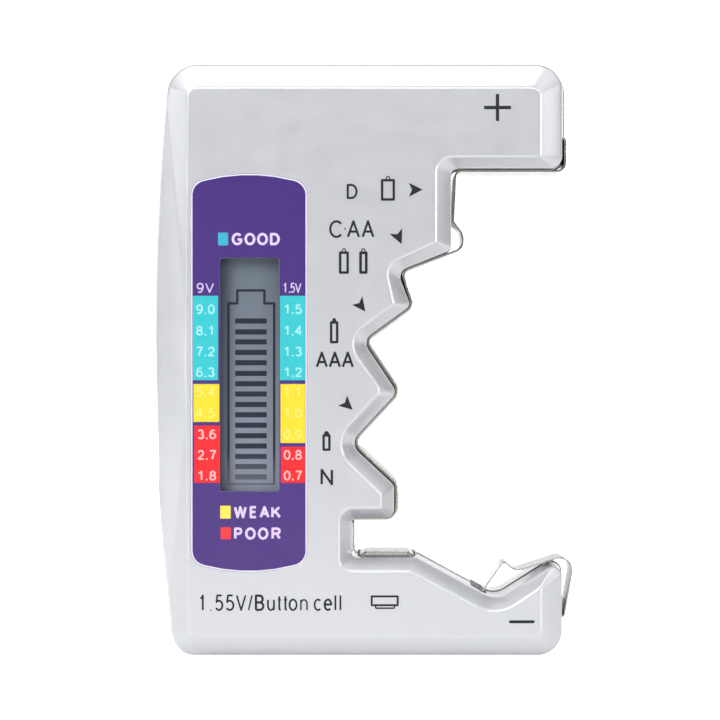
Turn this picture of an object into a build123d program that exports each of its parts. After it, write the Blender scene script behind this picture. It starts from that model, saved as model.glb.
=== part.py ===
from build123d import *
import math
import os

os.makedirs("parts", exist_ok=True)

# Hand-held cell tester, standing upright on its flat bottom edge.
# +Z is up (the long direction), +X is to the right when the scale faces the
# reader, and the face looks towards -Y.  The origin is the middle of the
# bottom of the bounding box.  All sizes are in millimetres.

# ---------------------------------------------------------------- dimensions
THICK = 22.0              # case, front face to back face
Y_FACE = -THICK / 2       # plane of the front face
Y_BACK = THICK / 2        # plane of the back face
FRONT_BEVEL = 2.9         # depth of the front bevel
REAR_BEVEL = 2.4          # depth of the rear bevel
REAR_BEVEL_W = 2.0        # width of the rear bevel
WALL = 1.7                # side wall at its thinnest
FACE_WALL = 1.8           # face plate
REAR_WALL = 2.4           # back plate

STRIP_T = 0.42            # positive contact strip, thickness
STRIP_W = 11.0            # positive contact strip, width across the case
CLIP_T = 0.35             # spring clip, thickness
CLIP_W = 9.0              # spring clip, width
CLIP_PIVOT = (30.90, 5.60)  # where the clip bends out of the right wall (x, z)

LCD_X, LCD_Z = -17.305, 43.0      # centre of the display window
WIN_W, WIN_H = 9.03, 35.58        # display window
LABEL_RECESS = 0.40
LABEL_T = 0.35

PCB_Y0, PCB_Y1 = -5.0, -3.8       # circuit board, front and rear surface
PCB_X0, PCB_X1 = -27.0, -7.2
PCB_Z0, PCB_Z1 = 13.6, 75.2

CASE_SCREWS = [(-23.5, 84.2), (24.3, 83.8), (24.2, 4.7), (-23.4, 6.2)]
PCB_SCREWS = [(-24.3, 71.6), (-9.9, 71.6), (-24.3, 16.3), (-9.9, 16.3)]

NINE_V_Z = 47.0           # middle of the two nine-volt contacts
NINE_V_PITCH = 12.7       # distance between the snaps of a nine-volt cell

# Corners of the outline as (x, z, radius), clockwise from the top left, seen
# from the front.  WALL_LINE is where the front bevel meets the side wall.
WALL_LINE = [
    (-29.60, 90.50, 4.6), (30.49, 90.50, 3.8), (30.49, 74.67, 1.84),
    (13.54, 74.67, 0.92), (13.54, 62.12, 1.23), (5.22, 58.82, 1.60),
    (7.26, 53.60, 1.07), (-0.14, 48.26, 1.69), (5.18, 40.27, 1.38),
    (-2.15, 32.40, 1.99), (4.72, 25.99, 1.23), (4.72, 21.02, 1.38),
    (-1.79, 21.02, 0.77), (-1.79, 14.84, 1.07), (8.33, 14.84, 1.84),
    (20.43, 8.26, 3.37), (30.49, 14.58, 1.30), (30.49, -0.05, 3.8),
    (-28.90, -0.05, 3.4), (-33.50, 47.0, 420.0),
]
# FACE_LINE is the same outline where the bevel meets the flat front face.
FACE_LINE = [
    (-26.78, 86.90, 1.52), (27.14, 86.90, 1.37), (27.09, 76.19, 0.25),
    (11.17, 76.19, 2.29), (11.14, 63.23, 0.25), (3.42, 59.73, 2.6),
    (4.66, 53.74, 0.46), (-2.81, 48.24, 3.35), (2.82, 40.60, 1.37),
    (-5.05, 32.22, 4.27), (2.79, 24.80, 0.30), (2.79, 22.62, 0.30),
    (-3.61, 22.62, 1.98), (-3.61, 13.10, 1.68), (7.05, 13.10, 1.22),
    (20.37, 6.10, 5.79), (27.09, 10.66, 0.30), (27.09, 3.04, 0.91),
    (-26.63, 3.04, 1.22), (-27.10, 45.0, 900.0),
]
# How far each side wall leans out between the bevel and the parting line:
# one number for the edge that follows each corner.
DRAFT = [0.85, 0.92, 0.0, 0.20, 0.0, 0.45, 0.30, 0.45, 0.30, 0.45,
         0.45, 0.30, 0.45, 0.45, 0.45, 0.45, 0.50, 0.0, 0.85, 0.85]
# How far the rear shell draws in again towards the back.
REAR_DRAFT = [-0.5, -0.5, 0.0, 0.0, 0.0, 0.0, 0.0, 0.0, 0.0, 0.0,
              0.0, 0.0, 0.0, 0.0, 0.0, 0.0, -0.25, 0.0, -0.5, -0.5]


# ------------------------------------------------------------- flat geometry
def unit(ax, az):
    d = math.hypot(ax, az)
    return ax / d, az / d


def offset_line(corners, dists):
    """Move each edge of a clockwise outline outwards by its own distance."""
    n = len(corners)
    out = []
    for i in range(n):
        x0, z0, _ = corners[i - 1]
        x1, z1, r = corners[i]
        x2, z2, _ = corners[(i + 1) % n]
        ux, uz = unit(x1 - x0, z1 - z0)
        vx, vz = unit(x2 - x1, z2 - z1)
        da, db = dists[i - 1], dists[i]
        # the outward normal of a clockwise edge (u) is its left-hand side
        pa = (x1 - uz * da, z1 + ux * da)
        pb = (x1 - vz * db, z1 + vx * db)
        cross = ux * vz - uz * vx
        t = ((pb[0] - pa[0]) * vz - (pb[1] - pa[1]) * vx) / cross
        x, z = pa[0] + ux * t, pa[1] + uz * t
        grow = (da + db) / 2
        r2 = r + grow if cross < 0 else r - grow
        out.append((x, z, max(r2, 0.2)))
    return out


def rounded(corners, closed=True):
    """Straight runs and tangent arcs through the corners of an outline."""
    n = len(corners)
    tang = [0.0] * n
    for i in range(n):
        if not closed and i in (0, n - 1):
            continue
        x0, z0 = corners[i - 1][:2]
        x1, z1, r = corners[i]
        x2, z2 = corners[(i + 1) % n][:2]
        ux, uz = unit(x1 - x0, z1 - z0)
        vx, vz = unit(x2 - x1, z2 - z1)
        turn = math.atan2(ux * vz - uz * vx, ux * vx + uz * vz)
        tang[i] = r * math.tan(abs(turn) / 2)
    for _ in range(4):
        for i in range(n):
            j = (i + 1) % n
            if not closed and j == 0:
                continue
            length = math.hypot(corners[j][0] - corners[i][0],
                                corners[j][1] - corners[i][1])
            total = tang[i] + tang[j]
            if total > length * 0.96:
                k = length * 0.96 / total
                tang[i] *= k
                tang[j] *= k
    segs = []
    ends = []
    for i in range(n):
        x1, z1 = corners[i][:2]
        if not closed and i in (0, n - 1):
            ends.append(((x1, z1), None, (x1, z1)))
            continue
        x0, z0 = corners[i - 1][:2]
        x2, z2 = corners[(i + 1) % n][:2]
        ux, uz = unit(x1 - x0, z1 - z0)
        vx, vz = unit(x2 - x1, z2 - z1)
        turn = math.atan2(ux * vz - uz * vx, ux * vx + uz * vz)
        t = tang[i]
        r = t / math.tan(abs(turn) / 2)
        a = (x1 - ux * t, z1 - uz * t)
        b = (x1 + vx * t, z1 + vz * t)
        bx, bz = unit(vx - ux, vz - uz)
        d = r / math.cos(turn / 2) - r
        ends.append((a, (x1 + bx * d, z1 + bz * d), b))
    count = n if closed else n - 1
    for i in range(count):
        a, mid, b = ends[i]
        if mid is not None:
            segs.append(("arc", a, mid, b))
        nxt = ends[(i + 1) % n][0]
        segs.append(("line", b, nxt))
    return segs


def wire_at(segs, y):
    edges = []
    for s in segs:
        if s[0] == "arc":
            edges.append(Edge.make_three_point_arc(
                Vector(s[1][0], y, s[1][1]), Vector(s[2][0], y, s[2][1]),
                Vector(s[3][0], y, s[3][1])))
        else:
            edges.append(Edge.make_line(Vector(s[1][0], y, s[1][1]),
                                        Vector(s[2][0], y, s[2][1])))
    return Wire(edges)


def loft_between(a, ya, b, yb):
    return Solid.make_loft([wire_at(rounded(a), ya), wire_at(rounded(b), yb)],
                           ruled=True)


def prism(corners, y0, y1):
    face = Face(wire_at(rounded(corners), y0))
    return extrude(face, amount=y1 - y0, dir=(0, 1, 0))


def block(x0, x1, y0, y1, z0, z1):
    return Pos((x0 + x1) / 2, (y0 + y1) / 2, (z0 + z1) / 2) * Box(
        x1 - x0, y1 - y0, z1 - z0)


def rod_y(x, z, d, y0, y1):
    return Pos(x, (y0 + y1) / 2, z) * Rot(90, 0, 0) * Cylinder(d / 2, y1 - y0)


def rod_x(y, z, d, x0, x1):
    return Pos((x0 + x1) / 2, y, z) * Rot(0, 90, 0) * Cylinder(d / 2, x1 - x0)


def band(path, thick, y0, y1):
    """A bent flat strip: the path is its middle line, seen from the front."""
    def side(off):
        pts = []
        n = len(path)
        for i, (x, z, r) in enumerate(path):
            if i == 0:
                ux, uz = unit(path[1][0] - x, path[1][1] - z)
                pts.append((x - uz * off, z + ux * off, 0.0))
            elif i == n - 1:
                ux, uz = unit(x - path[i - 1][0], z - path[i - 1][1])
                pts.append((x - uz * off, z + ux * off, 0.0))
            else:
                ux, uz = unit(x - path[i - 1][0], z - path[i - 1][1])
                vx, vz = unit(path[i + 1][0] - x, path[i + 1][1] - z)
                cross = ux * vz - uz * vx
                pa = (x - uz * off, z + ux * off)
                pb = (x - vz * off, z + vx * off)
                t = ((pb[0] - pa[0]) * vz - (pb[1] - pa[1]) * vx) / cross
                r2 = r + off if cross < 0 else r - off
                pts.append((pa[0] + ux * t, pa[1] + uz * t, max(r2, 0.05)))
        return rounded(pts, closed=False)
    a = side(thick / 2)
    b = side(-thick / 2)
    edges = []
    for segs in (a, b):
        for s in segs:
            if s[0] == "arc":
                edges.append(Edge.make_three_point_arc(
                    Vector(s[1][0], y0, s[1][1]), Vector(s[2][0], y0, s[2][1]),
                    Vector(s[3][0], y0, s[3][1])))
            else:
                edges.append(Edge.make_line(Vector(s[1][0], y0, s[1][1]),
                                            Vector(s[2][0], y0, s[2][1])))
    a0, b0 = a[0][1], b[0][1]
    a1, b1 = a[-1][2], b[-1][2]
    edges.append(Edge.make_line(Vector(a0[0], y0, a0[1]), Vector(b0[0], y0, b0[1])))
    edges.append(Edge.make_line(Vector(a1[0], y0, a1[1]), Vector(b1[0], y0, b1[1])))
    face = Face(Wire(edges))
    return extrude(face, amount=y1 - y0, dir=(0, 1, 0))


# ------------------------------------------------------------------ outlines
PART_LINE = offset_line(WALL_LINE, DRAFT)
REAR_LINE = offset_line(PART_LINE, REAR_DRAFT)
BACK_LINE = offset_line(REAR_LINE, [-REAR_BEVEL_W] * 20)
CAVITY = offset_line(WALL_LINE, [-WALL] * 20)
FACE_CAVITY = offset_line(FACE_LINE, [-1.25] * 20)
LABEL = [(-26.09, 72.15, 2.3), (-17.41, 74.35, 28.0), (-8.73, 72.15, 2.3),
         (-8.73, 14.42, 2.3), (-17.41, 12.22, 28.0), (-26.09, 14.42, 2.3)]

Y_WALL = Y_FACE + FRONT_BEVEL
Y_REAR = Y_BACK - REAR_BEVEL

# ----------------------------------------------------- contact strip middles
STRIP_OFF = STRIP_T / 2 + 0.03
along = offset_line(PART_LINE, [STRIP_OFF] * 20)
STRIP_PATH = [
    (27.4, 79.45, 0.0),                     # tab inside the arm
    (31.17, 79.45, 0.45),
    (31.17, 74.42, 1.25),                   # round the tip of the arm
    (14.26, 74.42, 0.95),                   # into the corner of the bay
    (13.88, 66.60, 0.6),                    # leans back into its pocket
    (15.36, 64.42, 1.4),                    # sprung bulge
    (15.10, 62.46, 1.1),
]
# the slanted seat, the teeth and the underside of the last tooth
for i in (5, 6, 7, 8, 9, 10, 11):
    x, z, r = along[i]
    STRIP_PATH.append((x, z, max(r, 0.6)))
z_tooth = along[11][1]
STRIP_PATH += [(-4.7, z_tooth, 0.5), (-4.7, z_tooth - 3.0, 0.0)]

CROWN_Z = 15.53
CROWN_PATH = [
    (-0.45, 10.8, 0.0), (-0.45, 15.00, 0.35), (0.42, CROWN_Z, 0.5),
    (6.92, CROWN_Z, 0.5), (7.72, 15.00, 0.35), (7.72, 10.6, 0.8),
    (15.3, 6.6, 0.0),
]

CLIP_PATH = [
    (28.00, 3.30, 0.0), (28.00, 5.60, 0.55), (31.05, 5.60, 0.35),
    (32.80, 15.55, 1.93), (23.46, 12.52, 0.93), (21.77, 14.21, 0.62),
    (17.52, 8.22, 0.0),
]

SLOPE = math.degrees(math.atan2(14.84 - 8.26, 20.43 - 8.33))


def slope_slot():
    """Slot through the sloping floor where the clip's free leg goes in."""
    cx = 17.75
    cz = 14.84 - (cx - 8.33) * math.tan(math.radians(SLOPE))
    return Pos(cx, 0, cz) * Rot(0, SLOPE, 0) * Box(2.75, 10.6, 5.2)


# --------------------------------------------------------------- front shell
def make_front_shell():
    s = loft_between(FACE_LINE, Y_FACE, WALL_LINE, Y_WALL)
    s = s + loft_between(WALL_LINE, Y_WALL, PART_LINE, 0.0)
    s = s - prism(CAVITY, Y_WALL + 0.6, 1.0)
    s = s - prism(FACE_CAVITY, Y_FACE + FACE_WALL, Y_WALL + 0.7)
    s = s - prism(LABEL, Y_FACE - 1.0, Y_FACE + LABEL_RECESS)
    s = s - block(LCD_X - WIN_W / 2, LCD_X + WIN_W / 2, Y_FACE - 1, Y_FACE + 3,
                  LCD_Z - WIN_H / 2, LCD_Z + WIN_H / 2)
    for x, z in CASE_SCREWS:
        s = s + rod_y(x, z, 5.0, Y_FACE + 1.4, -0.15)
    for x, z in PCB_SCREWS:
        s = s + rod_y(x, z, 3.6, Y_FACE + 1.4, PCB_Y0 - 0.05)
    for x, z in CASE_SCREWS:
        s = s - rod_y(x, z, 2.1, -8.2, 1.0)
    for x, z in PCB_SCREWS:
        s = s - rod_y(x, z, 1.5, -8.6, 0.0)
    return cut_openings(s)


# ---------------------------------------------------------------- rear shell
def make_rear_shell():
    s = loft_between(PART_LINE, 0.0, REAR_LINE, Y_REAR)
    s = s + loft_between(REAR_LINE, Y_REAR, BACK_LINE, Y_BACK)
    s = s - prism(CAVITY, -1.0, Y_BACK - REAR_WALL)
    for x, z in CASE_SCREWS:
        s = s + rod_y(x, z, 6.0, 0.15, Y_BACK - 1.2)
    for x, z in CASE_SCREWS:
        s = s - rod_y(x, z, 2.4, -1.0, 6.0)
        s = s - rod_y(x, z, 4.4, 3.0, Y_BACK + 1.0)
    return cut_openings(s)


def cut_openings(s):
    """Flat foot, and the slots and pockets that both shells share."""
    half = STRIP_W / 2 + 0.2
    # flat bottom edge that the case stands on
    s = s - block(-40.0, 40.0, -12.0, 12.0, -1.0, 0.0)
    # seat and slot of the positive strip on the end of the arm
    s = s - block(30.93, 33.0, -half, half, 72.0, 79.95)
    s = s - block(28.0, 33.0, -half, half, 79.05, 79.85)
    # pocket behind the sprung part of the strip
    s = s - block(13.45, 15.0, -half, half, 64.9, 69.6)
    # slot at the back of the button-cell notch, upper corner
    s = s - block(-4.2, -1.0, -half, half, z_tooth - 0.45, z_tooth + 0.40)
    # two slits in the floor of the button-cell notch
    s = s - block(-0.80, 0.36, -5.2, 5.2, 12.4, 16.4)
    s = s - block(6.96, 8.07, -5.2, 5.2, 12.2, 16.4)
    # slot in the sloping floor
    s = s - slope_slot()
    # slot and relief in the right wall for the clip
    ch = CLIP_W / 2 + 0.5
    s = s - block(28.0, 33.0, -ch, ch, 5.0, 6.25)
    s = s - block(30.05, 33.0, -ch, ch, 5.0, 7.9)
    # nine-volt contacts in the left wall
    s = s - rod_x(0, NINE_V_Z + NINE_V_PITCH / 2, 7.2, -35, -28.5)
    s = s - rod_x(0, NINE_V_Z - NINE_V_PITCH / 2, 9.0, -35, -28.5)
    return s


# -------------------------------------------------------------- small pieces
def make_label():
    clear = offset_line(LABEL, [-0.10] * 6)
    y0 = Y_FACE + LABEL_RECESS - LABEL_T
    s = prism(clear, y0, Y_FACE + LABEL_RECESS)
    return s - block(LCD_X - WIN_W / 2 - 0.02, LCD_X + WIN_W / 2 + 0.02,
                     Y_FACE - 1, Y_FACE + 3,
                     LCD_Z - WIN_H / 2 - 0.02, LCD_Z + WIN_H / 2 + 0.02)


def make_holder():
    s = block(-25.35, -9.2, -9.12, PCB_Y0 - 0.05, 18.6, 67.4)
    return s - block(-24.4, -10.2, -9.5, PCB_Y0 + 1, 20.5, 65.5)


def make_pcb():
    s = block(PCB_X0, PCB_X1, PCB_Y0, PCB_Y1, PCB_Z0, PCB_Z1)
    s = fillet(s.edges().filter_by(Axis.Y), 1.0)
    for x, z in PCB_SCREWS:
        s = s - rod_y(x, z, 1.7, PCB_Y0 - 1, PCB_Y1 + 1)
    return s


def make_screw(x, z, head_d, head_h, shank_d, y_seat, length):
    """Pan-head screw driven from the back, with a cross recess."""
    head = rod_y(x, z, head_d, y_seat, y_seat + head_h)
    head = fillet(head.edges().filter_by(GeomType.CIRCLE).group_by(Axis.Y)[-1],
                  head_h * 0.45)
    s = head + rod_y(x, z, shank_d, y_seat - length, y_seat + 0.2)
    tip = s.edges().filter_by(GeomType.CIRCLE).group_by(Axis.Y)[0]
    s = chamfer(tip, shank_d * 0.25)
    w, d = head_d * 0.16, head_h * 0.6
    top = y_seat + head_h
    s = s - block(x - head_d * 0.3, x + head_d * 0.3, top - d, top + 1,
                  z - w / 2, z + w / 2)
    s = s - block(x - w / 2, x + w / 2, top - d, top + 1,
                  z - head_d * 0.3, z + head_d * 0.3)
    return s


def make_snap(z, disc_d, flange_d):
    """Stepped disc in the left wall: rim inside, face just below flush."""
    s = rod_x(0, z, disc_d, -31.9, -29.0)
    s = s + rod_x(0, z, flange_d, -29.72, -28.9)
    s = s + rod_x(0, z, 2.0, -29.0, -27.7)
    face = s.edges().filter_by(GeomType.CIRCLE).group_by(Axis.X)[0]
    return fillet(face, 0.35)


def make_resistor(z):
    """Axial load resistor lying across the back of the board."""
    y = PCB_Y1 + 1.45
    x0, x1 = LCD_X - 5.2, LCD_X + 5.2
    s = rod_x(y, z, 2.3, LCD_X - 3.2, LCD_X + 3.2)
    s = fillet(s.edges().filter_by(GeomType.CIRCLE), 0.5)
    for sx in (-1, 1):
        s = s + rod_x(y, z, 0.55, LCD_X + min(sx * 3.0, sx * 5.2),
                      LCD_X + max(sx * 3.0, sx * 5.2))
        s = s + rod_y(LCD_X + sx * 5.2, z, 0.55, PCB_Y1, y)
        s = s + Pos(LCD_X + sx * 5.2, y, z) * Sphere(0.275)
    return s


def make_lead(points, d, radius):
    path = FilletPolyline(*points, radius=radius)
    start = Plane(origin=path @ 0, z_dir=path % 0)
    return sweep(start * Circle(d / 2), path=path)


# ------------------------------------------------------------------ assembly
parts = {}
parts["front_shell"] = make_front_shell()
parts["rear_shell"] = make_rear_shell()
parts["scale_label"] = make_label()

parts["lcd_front_polarizer"] = block(-23.6, -11.0, -9.15, -8.95, 23.4, 62.6)
parts["lcd_front_glass"] = block(-24.3, -10.3, -8.95, -8.25, 20.6, 65.4)
parts["lcd_rear_glass"] = block(-24.3, -10.3, -8.25, -7.55, 23.3, 62.7)
parts["lcd_reflector"] = block(-23.6, -11.0, -7.55, -7.35, 24.0, 62.0)
parts["lcd_holder"] = make_holder()
parts["zebra_strips"] = Compound(children=[
    block(-23.8, -10.8, -8.24, PCB_Y0 - 0.01, 20.9, 22.9),
    block(-23.8, -10.8, -8.24, PCB_Y0 - 0.01, 63.1, 65.1)])
parts["main_pcb"] = make_pcb()
parts["pcb_screws"] = Compound(children=[
    make_screw(x, z, 2.8, 1.0, 1.4, PCB_Y1, 4.2) for x, z in PCB_SCREWS])
parts["case_screws"] = Compound(children=[
    make_screw(x, z, 3.9, 1.6, 2.0, 3.0, 9.4) for x, z in CASE_SCREWS])

blob = rod_y(-17.3, 40.0, 9.0, PCB_Y1, PCB_Y1 + 1.5)
parts["driver_chip"] = fillet(
    blob.edges().filter_by(GeomType.CIRCLE).group_by(Axis.Y)[-1], 1.2)
parts["load_resistors"] = Compound(children=[make_resistor(60.5), make_resistor(55.5)])
parts["chip_resistors"] = Compound(children=[
    block(x - 1.0, x + 1.0, PCB_Y1, PCB_Y1 + 0.55, z - 0.62, z + 0.62)
    for x, z in ((-21.5, 31.0), (-17.3, 31.0), (-13.1, 31.0),
                 (-21.5, 27.5), (-17.3, 27.5), (-13.1, 27.5))])
parts["chip_capacitors"] = Compound(children=[
    block(x - 1.0, x + 1.0, PCB_Y1, PCB_Y1 + 0.9, z - 0.62, z + 0.62)
    for x, z in ((-13.1, 49.5), (-17.3, 49.5), (-21.5, 49.5))])

parts["positive_contact_strip"] = band(STRIP_PATH, STRIP_T,
                                       -STRIP_W / 2, STRIP_W / 2)
parts["negative_button_contact"] = band(CROWN_PATH, 0.40, -5.0, 5.0)
parts["negative_spring_clip"] = band(CLIP_PATH, CLIP_T, -CLIP_W / 2, CLIP_W / 2)

z_pos = NINE_V_Z + NINE_V_PITCH / 2
z_neg = NINE_V_Z - NINE_V_PITCH / 2
parts["nine_volt_positive_contact"] = make_snap(z_pos, 6.8, 9.0)
parts["nine_volt_negative_contact"] = make_snap(z_neg, 8.6, 10.8)

y_pad = PCB_Y1 + 0.6
LEAD_D = 1.2
leads = {
    "positive_lead": [(-4.95, 0.0, 18.6), (-8.4, 0.0, 18.6),
                      (-8.4, 0.0, 24.0), (-8.4, y_pad, 24.0)],
    "negative_lead": [(-0.68, 0.0, 11.6), (-13.5, 0.0, 11.6),
                      (-13.5, 0.0, 18.5), (-13.5, y_pad, 18.5)],
    "nine_volt_positive_lead": [(-27.7, 0.0, z_pos), (-24.6, 0.0, z_pos),
                                (-24.6, y_pad, z_pos)],
    "nine_volt_negative_lead": [(-27.7, 0.0, z_neg), (-24.6, 0.0, z_neg),
                                (-24.6, y_pad, z_neg)],
}
for name, points in leads.items():
    parts[name] = make_lead(points, LEAD_D, 1.4)
parts["solder_joints"] = Compound(children=[
    rod_y(p[-1][0], p[-1][2], 2.0, PCB_Y1, y_pad) for p in leads.values()])

if __name__ == "__main__":
    lo = [1e9] * 3
    hi = [-1e9] * 3
    for name, shape in parts.items():
        if not isinstance(shape, Compound):
            shape = Compound(children=[shape]) if isinstance(shape, Solid) else shape
        bb = shape.bounding_box()
        for k, (a, b) in enumerate(((bb.min.X, bb.max.X), (bb.min.Y, bb.max.Y),
                                    (bb.min.Z, bb.max.Z))):
            lo[k] = min(lo[k], a)
            hi[k] = max(hi[k], b)
        export_step(shape, f"parts/{name}.step")
    print("box", [round(v, 3) for v in lo], [round(v, 3) for v in hi])
    print("x middle", round((lo[0] + hi[0]) / 2, 4))
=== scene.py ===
import math

import bpy
import bmesh
from mathutils import Matrix, Vector
from mathutils.geometry import delaunay_2d_cdt


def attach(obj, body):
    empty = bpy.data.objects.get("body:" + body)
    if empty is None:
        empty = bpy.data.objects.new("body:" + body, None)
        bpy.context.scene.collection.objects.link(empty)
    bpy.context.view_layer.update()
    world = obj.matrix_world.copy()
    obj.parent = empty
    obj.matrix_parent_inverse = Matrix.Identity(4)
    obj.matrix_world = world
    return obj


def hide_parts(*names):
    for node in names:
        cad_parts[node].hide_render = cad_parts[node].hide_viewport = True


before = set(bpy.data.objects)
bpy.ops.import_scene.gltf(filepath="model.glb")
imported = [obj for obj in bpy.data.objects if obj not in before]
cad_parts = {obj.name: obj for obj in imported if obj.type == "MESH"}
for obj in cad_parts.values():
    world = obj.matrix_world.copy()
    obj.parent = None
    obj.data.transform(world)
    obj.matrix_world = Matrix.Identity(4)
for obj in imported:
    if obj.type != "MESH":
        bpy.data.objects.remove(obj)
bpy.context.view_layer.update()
MM = 0.001

# ------------------------------------------------------------------ numbers
# millimetres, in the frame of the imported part: +Z up, face towards -Y
Y_FACE = -10.98           # face plane, 0.02 behind the box for the printing
Y_WALL = -8.10            # bevel meets the side wall
Y_REAR = 8.60
Y_BACK = 11.0
WALL = 1.7
RECESS_Y = -10.60         # floor of the label recess
LCD_X, LCD_Z = -17.305, 43.0
WIN_W, WIN_H = 9.03, 35.58

WALL_LINE = [
    (-29.60, 90.50, 4.6), (30.49, 90.50, 3.8), (30.49, 74.67, 1.84),
    (13.54, 74.67, 0.92), (13.54, 62.12, 1.23), (5.22, 58.82, 1.60),
    (7.26, 53.60, 1.07), (-0.14, 48.26, 1.69), (5.18, 40.27, 1.38),
    (-2.15, 32.40, 1.99), (4.72, 25.99, 1.23), (4.72, 21.02, 1.38),
    (-1.79, 21.02, 0.77), (-1.79, 14.84, 1.07), (8.33, 14.84, 1.84),
    (20.43, 8.26, 3.37), (30.49, 14.58, 1.30), (30.49, -0.05, 3.8),
    (-28.90, -0.05, 3.4), (-33.50, 47.0, 420.0),
]
FACE_LINE = [
    (-26.78, 86.90, 1.52), (27.14, 86.90, 1.37), (27.09, 76.19, 0.25),
    (11.17, 76.19, 2.29), (11.14, 63.23, 0.25), (3.42, 59.73, 2.6),
    (4.66, 53.74, 0.46), (-2.81, 48.24, 3.35), (2.82, 40.60, 1.37),
    (-5.05, 32.22, 4.27), (2.79, 24.80, 0.30), (2.79, 22.62, 0.30),
    (-3.61, 22.62, 1.98), (-3.61, 13.10, 1.68), (7.05, 13.10, 1.22),
    (20.37, 6.10, 5.79), (27.09, 10.66, 0.30), (27.09, 3.04, 0.91),
    (-26.63, 3.04, 1.22), (-27.10, 45.0, 900.0),
]
DRAFT = [0.85, 0.92, 0.0, 0.20, 0.0, 0.45, 0.30, 0.45, 0.30, 0.45,
         0.45, 0.30, 0.45, 0.45, 0.45, 0.45, 0.50, 0.0, 0.85, 0.85]
REAR_DRAFT = [-0.5, -0.5, 0.0, 0.0, 0.0, 0.0, 0.0, 0.0, 0.0, 0.0,
              0.0, 0.0, 0.0, 0.0, 0.0, 0.0, -0.25, 0.0, -0.5, -0.5]
LABEL = [(-26.09, 72.15, 2.3), (-17.41, 74.35, 28.0), (-8.73, 72.15, 2.3),
         (-8.73, 14.42, 2.3), (-17.41, 12.22, 28.0), (-26.09, 14.42, 2.3)]
CASE_SCREWS = [(-23.5, 84.2), (24.3, 83.8), (24.2, 4.7), (-23.4, 6.2)]


# ------------------------------------------------------------ flat geometry
def unit(ax, az):
    d = math.hypot(ax, az)
    return ax / d, az / d


def offset_line(corners, dists):
    n = len(corners)
    out = []
    for i in range(n):
        x0, z0, _ = corners[i - 1]
        x1, z1, r = corners[i]
        x2, z2, _ = corners[(i + 1) % n]
        ux, uz = unit(x1 - x0, z1 - z0)
        vx, vz = unit(x2 - x1, z2 - z1)
        da, db = dists[i - 1], dists[i]
        pa = (x1 - uz * da, z1 + ux * da)
        pb = (x1 - vz * db, z1 + vx * db)
        cross = ux * vz - uz * vx
        t = ((pb[0] - pa[0]) * vz - (pb[1] - pa[1]) * vx) / cross
        x, z = pa[0] + ux * t, pa[1] + uz * t
        grow = (da + db) / 2
        r2 = r + grow if cross < 0 else r - grow
        out.append((x, z, max(r2, 0.2)))
    return out


def corner_arcs(corners, closed=True):
    """For each corner: entry point, exit point, radius, turn, entry direction."""
    n = len(corners)
    tang = [0.0] * n
    turns = [0.0] * n
    for i in range(n):
        if not closed and i in (0, n - 1):
            continue
        x0, z0 = corners[i - 1][:2]
        x1, z1, r = corners[i]
        x2, z2 = corners[(i + 1) % n][:2]
        ux, uz = unit(x1 - x0, z1 - z0)
        vx, vz = unit(x2 - x1, z2 - z1)
        turns[i] = math.atan2(ux * vz - uz * vx, ux * vx + uz * vz)
        tang[i] = r * math.tan(abs(turns[i]) / 2)
    for _ in range(4):
        for i in range(n):
            j = (i + 1) % n
            if not closed and j == 0:
                continue
            length = math.hypot(corners[j][0] - corners[i][0],
                                corners[j][1] - corners[i][1])
            total = tang[i] + tang[j]
            if total > length * 0.96:
                k = length * 0.96 / total
                tang[i] *= k
                tang[j] *= k
    arcs = []
    for i in range(n):
        x1, z1 = corners[i][:2]
        if not closed and i in (0, n - 1):
            arcs.append(None)
            continue
        x0, z0 = corners[i - 1][:2]
        x2, z2 = corners[(i + 1) % n][:2]
        ux, uz = unit(x1 - x0, z1 - z0)
        vx, vz = unit(x2 - x1, z2 - z1)
        t = tang[i]
        arcs.append(((x1 - ux * t, z1 - uz * t), (x1 + vx * t, z1 + vz * t),
                     t / math.tan(abs(turns[i]) / 2), turns[i], (ux, uz)))
    return arcs


def arc_points(arc, n):
    (ax, az), (bx, bz), r, turn, (ux, uz) = arc
    s = 1 if turn > 0 else -1
    cx, cz = ax - uz * r * s, az + ux * r * s
    pts = []
    for k in range(n + 1):
        a = turn * k / n
        dx, dz = ax - cx, az - cz
        pts.append((cx + dx * math.cos(a) - dz * math.sin(a),
                    cz + dx * math.sin(a) + dz * math.cos(a)))
    return pts


def plan(*outlines, closed=True, step=8.0, run=3.5, reach=3.0):
    """How many pieces each arc and each run is cut into, shared by outlines."""
    n = len(outlines[0])
    arc_n, run_n = [1] * n, [1] * n
    for corners in outlines:
        arcs = corner_arcs(corners, closed)
        for i in range(n):
            if arcs[i] is None:
                continue
            a = abs(arcs[i][3])
            arc_n[i] = max(arc_n[i], math.ceil(math.degrees(a) / step),
                           math.ceil(a * arcs[i][2] / reach), 2)
        for i in range(n):
            j = (i + 1) % n
            p = arcs[i][1] if arcs[i] else corners[i][:2]
            q = arcs[j][0] if arcs[j] else corners[j][:2]
            d = math.hypot(q[0] - p[0], q[1] - p[1])
            run_n[i] = max(run_n[i], math.ceil(d / run))
    return arc_n, run_n


def sample(corners, cuts, closed=True):
    arcs = corner_arcs(corners, closed)
    arc_n, run_n = cuts
    n = len(corners)
    pts = []
    for i in range(n):
        if arcs[i] is None:
            pts.append(tuple(corners[i][:2]))
            out = corners[i][:2]
        else:
            pts += arc_points(arcs[i], arc_n[i])
            out = arcs[i][1]
        j = (i + 1) % n
        if j == 0 and not closed:
            break
        nxt = arcs[j][0] if arcs[j] else corners[j][:2]
        for k in range(1, run_n[i]):
            f = k / run_n[i]
            pts.append((out[0] + (nxt[0] - out[0]) * f,
                        out[1] + (nxt[1] - out[1]) * f))
    return pts


def along(line, y):
    """A flat outline as points in space."""
    return [Vector((x, y, max(z, 0.0))) for x, z in line]


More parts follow.
